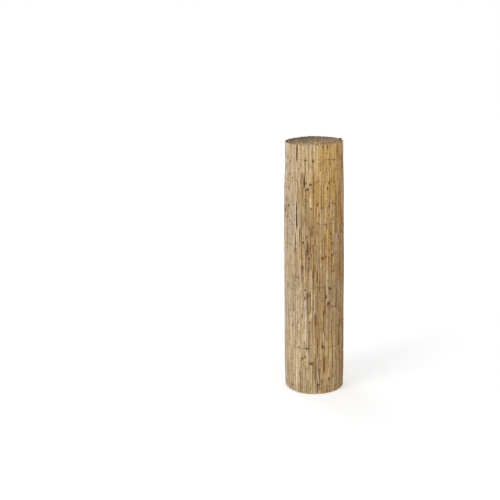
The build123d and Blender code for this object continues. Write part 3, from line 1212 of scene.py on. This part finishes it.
def scrap_skin(reed, root, length, width, lift, turn, hangs):
    """A strip from its root on a reed to its loose point, listed from the lower end to the upper."""
    share = np.linspace(0, 1, SCRAP_STATIONS)
    share = share[::-1] if hangs else share
    height = root + (-share if hangs else share) * length
    middle, out, aside = reed_line(reed, height)
    reach = reed_radius(reed, height) + HUSK_THICKNESS + lift * share**2
    half = width / reach / 2 * (1 - SCRAP_TAPER * share**SCRAP_TAPER_POWER)
    angle = turn + half[:, None] * np.linspace(-1, 1, SCRAP_SIDES)
    way = np.cos(angle)[..., None] * out[:, None] + np.sin(angle)[..., None] * aside[:, None]
    outside = middle[:, None] + (reach + SCRAP_THICKNESS)[:, None, None] * way
    inside = middle[:, None] + reach[:, None, None] * way
    flat = np.concatenate([outside, inside[:, ::-1]], 1)
    level = np.broadcast_to(height[:, None, None], (*flat.shape[:2], 1))
    points = np.concatenate([flat, level], -1)
    colour = towards(PALE, ASH, draw.random()) * draw.uniform(*SCRAP_LIGHTS)
    husk, no_stain, numbers = np.ones_like(height), np.zeros_like(height), np.full(height.shape, reed.number)
    return Skin(points, np.broadcast_to(colour, points.shape), husk, no_stain, numbers)


print("a scrap has", 2 * SCRAP_SIDES * SCRAP_STATIONS, "points")

# %% Scraps round the roll
SCRAP_COUNT = 96
SCRAPS_TO_A_PIECE = 34
EDGE_SCRAPS = [(-86, 1024), (-84, 891), (-87, 671), (-85, 583), (-86, 377), (84, 760), (86, 330)]
EDGE_LENGTH, EDGE_WIDTH, EDGE_LIFT = 16 * MM, 4 * MM, 5 * MM
ABOVE_NODE = (20 * MM, 70 * MM)
SMALLEST_SCRAP, LARGEST_SCRAP = np.array([14, 2.2, 0.8]) * MM, np.array([46, 4.6, 3.6]) * MM
WIDEST_TURN, HANGING_CHANCE = 0.9, 0.3

scraps = []
for place, height in EDGE_SCRAPS:
    reed = outer_reed_at(place)
    scraps.append(scrap_skin(reed, height * MM, EDGE_LENGTH, EDGE_WIDTH, EDGE_LIFT, 0.0, False))
while len(scraps) < SCRAP_COUNT:
    reed = outer_reeds[draw.integers(len(outer_reeds))]
    root = reed.nodes[draw.integers(len(reed.nodes))] + draw.uniform(*ABOVE_NODE)
    length, width, lift = draw.uniform(SMALLEST_SCRAP, LARGEST_SCRAP)
    if length < root < reed.tip - length:
        turn, hangs = draw.uniform(-WIDEST_TURN, WIDEST_TURN), draw.random() < HANGING_CHANCE
        scraps.append(scrap_skin(reed, root, length, width, lift, turn, hangs))
for number, start in enumerate(range(0, len(scraps), SCRAPS_TO_A_PIECE), start=1):
    some = scraps[start:start + SCRAPS_TO_A_PIECE]
    bundle(f"peeling_husks_{number:02d}", some, reed_finish, "reed_mat")
print(len(scraps), "scraps of husk")

# %% [markdown]
# ## The lacing wires
# Two thin wires twine along each row: where one passes in front of a reed the other passes behind, and
# they swap sides in between. That is what keeps a mat of loose reeds together. A curve object with a round
# bevel would do for a plain ring, but these paths are worked out reed by reed, so that the wire hugs each
# reed as it really stands.

# %% Twined paths
WIRE_RADIUS = 0.5 * MM
FRONT_HUG = np.radians([-62, -32, 0, 32, 62])
BACK_HUG = np.radians([50, 0, -50])
ROW_WAVE, LONG_WAVE, SHORT_WAVE = 1.4 * MM, 0.11, 0.37
STRAND_RISES = (0.6 * WIRE_RADIUS, -0.6 * WIRE_RADIUS)
REEDS_UNDER_EDGE = 3


def twined_path(row_reeds, level, phase, strand):
    """One of a row's two wires, in front of every second reed and behind the others."""
    points = []
    for order, reed in enumerate(row_reeds):
        height = level + ROW_WAVE * sin(order * LONG_WAVE + phase)
        height += ROW_WAVE / 2 * sin(order * SHORT_WAVE + 2 * phase)
        middle, out, aside = reed_line(reed, np.array(height))
        reach = float(reed_radius(reed, height)) + WIRE_RADIUS
        in_front = (order + strand) % 2 == 0
        for angle in FRONT_HUG if in_front else BACK_HUG + pi:
            flat = middle + reach * (cos(angle) * out + sin(angle) * aside)
            points.append((flat[0], flat[1], height + STRAND_RISES[strand]))
    return np.array(points)


row_reeds = [reed for reed in reeds if reed.number >= outer_reeds[0].number - REEDS_UNDER_EDGE]
print("each wire laces", len(row_reeds), "reeds")

# %% [markdown]
# ## The tails of the wires
# At the free edge the two wires of a row are twisted together into a tail. It goes over the edge, down onto
# the turn below, and holds the roll closed. A smooth line through a few stops gives its course, and each
# wire winds round that line.

# %% Tails
TAIL_PITCH, TAIL_TWIST_RADIUS = 6 * MM, 0.55 * MM
TAIL_STEPS = 16
TAIL_START, TAIL_START_LIFT = 2 * MM, -0.5 * MM
TAIL_STOPS = np.array([(15, 2.2), (30, 1.8), (48, 1.7), (66, 2.6)]) * MM
UP = np.array([0.0, 0.0, 1.0])


def over_crown(along, height, lift):
    """A point above the outer face of the wall."""
    point, out = wall(along)
    flat = point * girth(height) + out * (MAT_THICKNESS / 2 + lift)
    return np.array([flat[0], flat[1], height])


def smooth_line(points, steps):
    """A smooth curve through all points, with some steps from each to the next."""
    points = np.concatenate([points[:1], points, points[-1:]])
    share = np.linspace(0, 1, steps, endpoint=False)[:, None]
    spans = []
    for a, b, c, d in zip(points, points[1:], points[2:], points[3:]):
        bend = 2 * b + (c - a) * share + (2 * a - 5 * b + 4 * c - d) * share**2
        spans.append((bend + (3 * b - a - 3 * c + d) * share**3) / 2)
    return np.concatenate(spans)


def tail_path(level, strand, droop):
    """One of the two wires of a tail, twisted about a line from the free edge to the turn below."""
    stops = [over_crown(mat_length + TAIL_START, level, TAIL_START_LIFT)]
    for beyond, lift in TAIL_STOPS:
        stops.append(over_crown(outer_start + beyond, level - droop * beyond / TAIL_STOPS[-1, 0], lift))
    line = smooth_line(np.array(stops), TAIL_STEPS)
    side = np.cross(np.gradient(line, axis=0), UP)
    side /= np.linalg.norm(side, axis=1)[:, None]
    turn = 2 * pi * run_of(np.linalg.norm(np.diff(line, axis=0), axis=1)) / TAIL_PITCH + pi * strand
    return line + TAIL_TWIST_RADIUS * (np.cos(turn)[:, None] * side + np.sin(turn)[:, None] * UP)


print("a tail reaches", TAIL_STOPS[-1, 0] / MM, "mm beyond the free edge")

# %% [markdown]
# ## The finish of the wire
# The wire is galvanised, but long dull, with dust on it that makes it look much like the reeds. Some
# stretches have rusted brown, and those are the ones that show from afar. Rust could be a noise, but it
# has to meet the stains on the reeds, so its share goes along the wire as a painted value. The material
# breaks it up with fine specks and makes rust rough and zinc a little metallic.

# %% Rust along a wire
DULL_WIRE, RUSTY_WIRE = tone(164, 142, 108), tone(104, 74, 46)
LEAST_RUST, RUST_WAVE, RUST_WAVES_ROUND, RUST_ROW_SHIFT = 0.18, 0.16, 3, 77
WIRE_SIDES = 6


def rust_share(row, path):
    """How rusty a wire is along its path: a little everywhere, and fully on its rusty stretches."""
    places = np.degrees(np.arctan2(path[:, 0], -path[:, 1]))
    share = LEAST_RUST + RUST_WAVE * np.sin(np.radians(places * RUST_WAVES_ROUND + row * RUST_ROW_SHIFT))
    for rusty_row, start, stop in RUSTY_STRETCHES:
        if rusty_row == row:
            share = np.maximum(share, window(places, start, stop, RUST_SOFTNESS))
    return share


def tube_skin(path, row):
    """A round wire along a path, with rings turned as little as can be from one to the next."""
    ahead = np.gradient(path, axis=0)
    ahead /= np.linalg.norm(ahead, axis=1)[:, None]
    turn = np.arange(WIRE_SIDES) * 2 * pi / WIRE_SIDES
    normal = np.cross(ahead[0], UP)
    rings = []
    for point, way in zip(path, ahead):
        normal = normal - way * (normal @ way)
        normal = normal / np.linalg.norm(normal)
        other = np.cross(way, normal)
        rings.append(point + WIRE_RADIUS * (np.cos(turn)[:, None] * normal + np.sin(turn)[:, None] * other))
    rust = rust_share(row, path)
    colours = np.repeat(towards(DULL_WIRE, RUSTY_WIRE, rust)[:, None], WIRE_SIDES, 1)
    return Skin(np.array(rings), colours, rust, np.zeros(len(path)), np.full(len(path), row))


print("a wire is rusty by", LEAST_RUST, "on the whole, and fully on its rusty stretches")

# %% Wire material
SPECKS = {"Scale": 420.0, "Detail": 4.0, "Roughness": 0.6}
SPECK_LIGHTS = (1.2, 0.6)
ZINC_TO_RUST, WIRE_METALLIC, WIRE_ROUGHNESS = (0.2, 0.9), (0.55, 0.0), (0.45, 0.8)


def galvanised_wire():
    material, tree = new_material("dull_wire")
    shader = tree.nodes["Principled BSDF"]
    colour = add_node(tree, "ShaderNodeAttribute", attribute_name="own_colour")
    rust = add_node(tree, "ShaderNodeAttribute", attribute_name="coat")
    where = tree.nodes.new("ShaderNodeTexCoord")
    specks = add_node(tree, "ShaderNodeTexNoise", **SPECKS)
    tree.links.new(where.outputs["Object"], specks.inputs["Vector"])
    shaded = add_node(tree, "ShaderNodeVectorMath", operation="SCALE")
    tree.links.new(colour.outputs["Color"], shaded.inputs[0])
    speckled = spread(tree, specks.outputs["Fac"], *NOISE_RANGE, *SPECK_LIGHTS)
    tree.links.new(speckled, shaded.inputs["Scale"])
    tree.links.new(shaded.outputs["Vector"], shader.inputs["Base Color"])
    for name, values in (("Metallic", WIRE_METALLIC), ("Roughness", WIRE_ROUGHNESS)):
        tree.links.new(spread(tree, rust.outputs["Fac"], *ZINC_TO_RUST, *values), shader.inputs[name])
    return material


wire_finish = galvanised_wire()
print("wire material has", len(wire_finish.node_tree.nodes), "nodes")

# %% [markdown]
# ## Rows of wire
# Each row stands at the height of its measured wire and replaces it. A little chance in its waves and in
# the droop of its tail keeps the twelve rows from looking like copies.

# %% Rows
TAIL_DROOPS = (-4 * MM, 5 * MM)

for row, (node, level) in enumerate(zip(wire_nodes, wire_levels), start=1):
    phase, droop = draw.uniform(0, 2 * pi), draw.uniform(*TAIL_DROOPS)
    skins = []
    for strand in (0, 1):
        path = np.concatenate([twined_path(row_reeds, level, phase, strand), tail_path(level, strand, droop)])
        skins.append(tube_skin(path, row))
    piece = bundle(f"wire_row_{row:02d}", skins, wire_finish, node)
print(len(wire_nodes), "rows, the last with", len(piece.data.polygons), "faces")

# %% [markdown]
# ## A white floor that keeps the shadow
# The roll stands on white ground. More light would make a grey floor white, but would bleach the reeds too.
# So the floor and the world are white by themselves where the camera sees them, and the lamps stay at a
# plain level. Near the roll the floor gives a little less light of its own, and there the lamps leave a
# faint soft shadow.


# %% Seen directly
def seen_directly(tree):
    """1 for rays from the camera, and for those that a mirror or glass sends on, else 0."""
    path = tree.nodes.new("ShaderNodeLightPath").outputs
    camera_or_gloss = combine(tree, "ADD", path["Is Camera Ray"], path["Is Glossy Ray"], use_clamp=True)
    return combine(tree, "ADD", camera_or_gloss, path["Is Transmission Ray"], use_clamp=True)


WORLD_LIGHT = 0.5
scene = bpy.context.scene
scene.world = bpy.data.worlds.new("white_room")
scene.world.use_nodes = True
sky = scene.world.node_tree
sky.nodes["Background"].inputs["Color"].default_value = (1, 1, 1, 1)
strength = spread(sky, seen_directly(sky), 0, 1, WORLD_LIGHT, 1.0)
sky.links.new(strength, sky.nodes["Background"].inputs["Strength"])
print("the world lights the roll with", WORLD_LIGHT, "and is white to the camera")

# %% Floor
FLOOR_SIZE = 40.0
FLOOR_GREY = (0.6, 0.6, 0.6, 1)
FLOOR_FADE, FLOOR_OWN_WHITE = (0.4, 3.0), (0.53, 0.72)


def white_floor():
    material, tree = new_material("white_floor")
    tree.nodes.clear()
    output = tree.nodes.new("ShaderNodeOutputMaterial")
    lit = add_node(tree, "ShaderNodeBsdfDiffuse", Color=FLOOR_GREY)
    own = add_node(tree, "ShaderNodeEmission", Color=(1, 1, 1, 1))
    both = tree.nodes.new("ShaderNodeAddShader")
    where = tree.nodes.new("ShaderNodeTexCoord")
    away = add_node(tree, "ShaderNodeVectorMath", operation="LENGTH")
    tree.links.new(where.outputs["Object"], away.inputs[0])
    own_white = spread(tree, away.outputs["Value"], *FLOOR_FADE, *FLOOR_OWN_WHITE)
    tree.links.new(combine(tree, "MULTIPLY", seen_directly(tree), own_white), own.inputs["Strength"])
    tree.links.new(lit.outputs["BSDF"], both.inputs[0])
    tree.links.new(own.outputs["Emission"], both.inputs[1])
    tree.links.new(both.outputs["Shader"], output.inputs["Surface"])
    return material


bpy.ops.mesh.primitive_plane_add(size=FLOOR_SIZE)
floor = bpy.context.object
floor.name = "floor"
floor.data.materials.append(white_floor())
print("floor", FLOOR_SIZE, "m wide")

# %% [markdown]
# ## Three soft lamps
# A large lamp at the front left models the roll from light to dark, a weaker one at the front right opens
# the shadows, and one behind lights the back for the other views. Large lamps give soft edges, as in a
# studio with white sheets.

# %% Lamps
LAMP_TARGET = Vector((0, 0, 0.6))
LAMPS = {
    # place and size in metres, power in watts
    "key": ((-3.6, -3.6, 2.6), 2.6, 150),
    "fill": ((2.2, -5.0, 2.0), 2.4, 55),
    "back": ((-2.6, 4.6, 2.6), 2.4, 90),
}


def soft_lamp(name, place, size, power):
    """A square lamp that faces the middle of the roll."""
    data = bpy.data.lights.new(name, "AREA")
    data.size = size
    data.energy = power
    lamp = bpy.data.objects.new(name, data)
    scene.collection.objects.link(lamp)
    lamp.location = place
    lamp.rotation_euler = (LAMP_TARGET - lamp.location).to_track_quat("-Z", "Y").to_euler()
    return lamp


for name, (place, size, power) in LAMPS.items():
    lamp = soft_lamp(name, place, size, power)
    print(lamp.name, "lamp", round((LAMP_TARGET - lamp.location).length, 2), "m away")

# %% [markdown]
# ## The camera
# The camera looks slightly down on the roll, from a few metres away. Its place, its three angles and its
# focal length were fitted to the outline of the roll in the photograph. A lens in millimetres follows from
# the focal length in pixels and the width of the picture.

# %% Camera
CAMERA_PLACE = (0.0, -5.0, 1.9899)
CAMERA_YAW, CAMERA_PITCH, CAMERA_ROLL = radians(3.486), radians(14.690), radians(-0.932)
FOCAL_PIXELS, PICTURE_PIXELS, SENSOR_WIDTH = 1086.8, 500, 36.0

camera_data = bpy.data.cameras.new("camera")
camera_data.sensor_width = SENSOR_WIDTH
camera_data.lens = FOCAL_PIXELS * SENSOR_WIDTH / PICTURE_PIXELS
camera = bpy.data.objects.new("camera", camera_data)
scene.collection.objects.link(camera)
camera.location = CAMERA_PLACE
aim = Matrix.Rotation(CAMERA_YAW, 3, "Z") @ Matrix.Rotation(pi / 2 - CAMERA_PITCH, 3, "X")
camera.rotation_euler = (aim @ Matrix.Rotation(CAMERA_ROLL, 3, "Z")).to_euler()
scene.camera = camera
scene.view_settings.view_transform = "Standard"
print("lens", round(camera_data.lens, 2), "mm")

# %% [markdown]
# ## Count the pieces and triangles
# The dressed roll may stand a little proud of the measured one. The triangles are counted, because a part
# that others put into their scenes has to stay light enough.

# %% Pieces and triangles
made = [piece for piece in scene.objects if piece.type == "MESH" and piece.data.attributes.get("own_colour")]
triangles = [sum(len(face.vertices) - 2 for face in piece.data.polygons) for piece in made]
print(len(made), "pieces of", sum(triangles), "triangles, the largest of", max(triangles))
